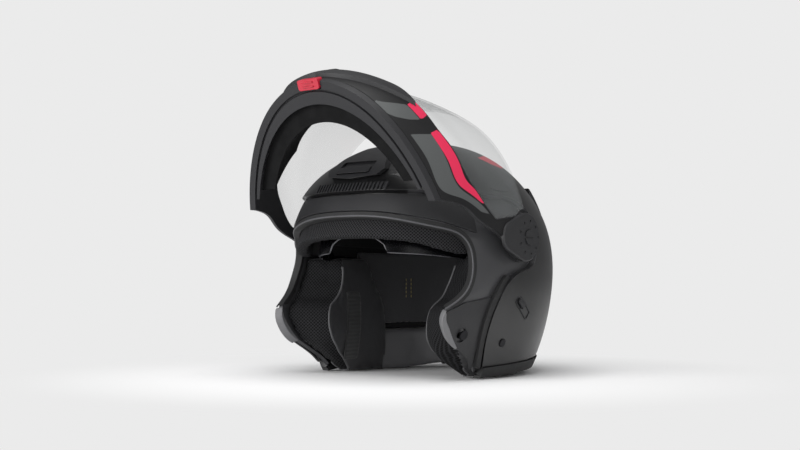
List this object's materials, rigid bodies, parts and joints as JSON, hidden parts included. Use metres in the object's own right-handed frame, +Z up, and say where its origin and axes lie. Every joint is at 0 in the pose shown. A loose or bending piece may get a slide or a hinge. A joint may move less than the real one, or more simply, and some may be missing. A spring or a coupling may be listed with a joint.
{
  "type": "modular motorcycle helmet",
  "caption": "Flip-up road helmet: a padded hard shell with a sun lens, a chin bar that lifts on side pivots, and a clear visor that swings on the same pivots.",
  "frame": {"origin": "on the level that the helmet rests on, in its middle plane, 3 mm in front of the chin bar's pivot line, and in the middle of the neck opening", "axes": "+X to the wearer's left, -Y the way the face looks, +Z up"},
  "size_m": [0.27, 0.3197, 0.2948],
  "materials": {
    "shell_black": "gloss",
    "matte_black": "matte",
    "trim_rubber": "matte",
    "liner_foam": "matte",
    "pad_cloth": "matte",
    "strap_webbing": "matte",
    "clear_visor": "gloss",
    "tinted_lens": "gloss",
    "latch_steel": "satin",
    "button_red": "satin"
  },
  "bodies": {
    "shell": {"outer_shell": "shell_black", "face_port_trim": "trim_rubber", "base_trim": "trim_rubber", "brow_band": "matte_black", "jaw_cover_left": "matte_black", "jaw_cover_right": "matte_black", "latch_posts": "latch_steel", "step_seal_left": "trim_rubber", "step_seal_right": "trim_rubber", "cheek_pad_left": "pad_cloth", "cheek_pad_right": "pad_cloth", "brow_pad": "pad_cloth", "impact_liner": "liner_foam", "sun_lens_pins": "latch_steel", "crown_pad": "pad_cloth", "nape_pad": "pad_cloth", "neck_roll": "pad_cloth", "pivot_base_left": "matte_black", "pivot_base_right": "matte_black", "pivot_pin_left": "latch_steel", "pivot_pin_right": "latch_steel", "brow_vent_grille": "matte_black", "crown_vent_scoop": "matte_black", "rear_exhaust": "matte_black", "sun_lens_track": "matte_black", "strap_rivets": "latch_steel", "side_vent_left": "matte_black", "side_vent_right": "matte_black", "chin_strap_left": "strap_webbing", "chin_strap_right": "strap_webbing"},
    "sun_lens": {"sun_lens": "tinted_lens"},
    "crown_slider": {"crown_vent_slider": "matte_black"},
    "sun_slider": {"sun_lens_slider": "matte_black"},
    "chin_bar": {"chin_bar": "matte_black", "chin_rim": "matte_black", "chin_lining": "liner_foam", "chin_vent_cover": "matte_black", "visor_seal": "trim_rubber", "pivot_cover_left": "matte_black", "pivot_cover_right": "matte_black", "pivot_cap_left": "matte_black", "pivot_cap_right": "matte_black"},
    "release_button": {"release_button": "button_red"},
    "chin_slider": {"chin_vent_slider": "matte_black"},
    "visor": {"visor": "clear_visor"}
  },
  "joints": [
    {"name": "chin_bar_hinge", "type": "hinge", "parent": "shell", "child": "chin_bar", "pos_m": [0, 0.003, 0.137], "axis": [1, 0, 0], "range_deg": [0, 77.5]},
    {"name": "visor_hinge", "type": "hinge", "parent": "chin_bar", "child": "visor", "pos_m": [0, 0.003, 0.137], "axis": [-1, 0, 0], "range_deg": [0, 40]},
    {"name": "sun_lens_hinge", "type": "hinge", "parent": "shell", "child": "sun_lens", "pos_m": [0, 0, 0.112], "axis": [1, 0, 0], "range_deg": [0, 26]},
    {"name": "sun_lens_slide", "type": "slide", "parent": "shell", "child": "sun_slider", "axis": [-0.064, 0.7681, -0.6371], "range_m": [0, 0.012]},
    {"name": "crown_vent_slide", "type": "slide", "parent": "shell", "child": "crown_slider", "axis": [0, 0.715, 0.6991], "range_m": [0, 0.006]},
    {"name": "chin_vent_slide", "type": "slide", "parent": "chin_bar", "child": "chin_slider", "axis": [1, 0, 0], "range_m": [-0.008, 0.008]},
    {"name": "release_press", "type": "slide", "parent": "chin_bar", "child": "release_button", "axis": [0, 0.9405, 0.3398], "range_m": [0, 0.003], "stiffness_N_per_m": 400, "springref_m": -0.003}
  ],
  "couplings": [
    {"joint": "sun_lens_slide", "follows": "sun_lens_hinge", "m_per_rad": 0.02644}
  ]
}
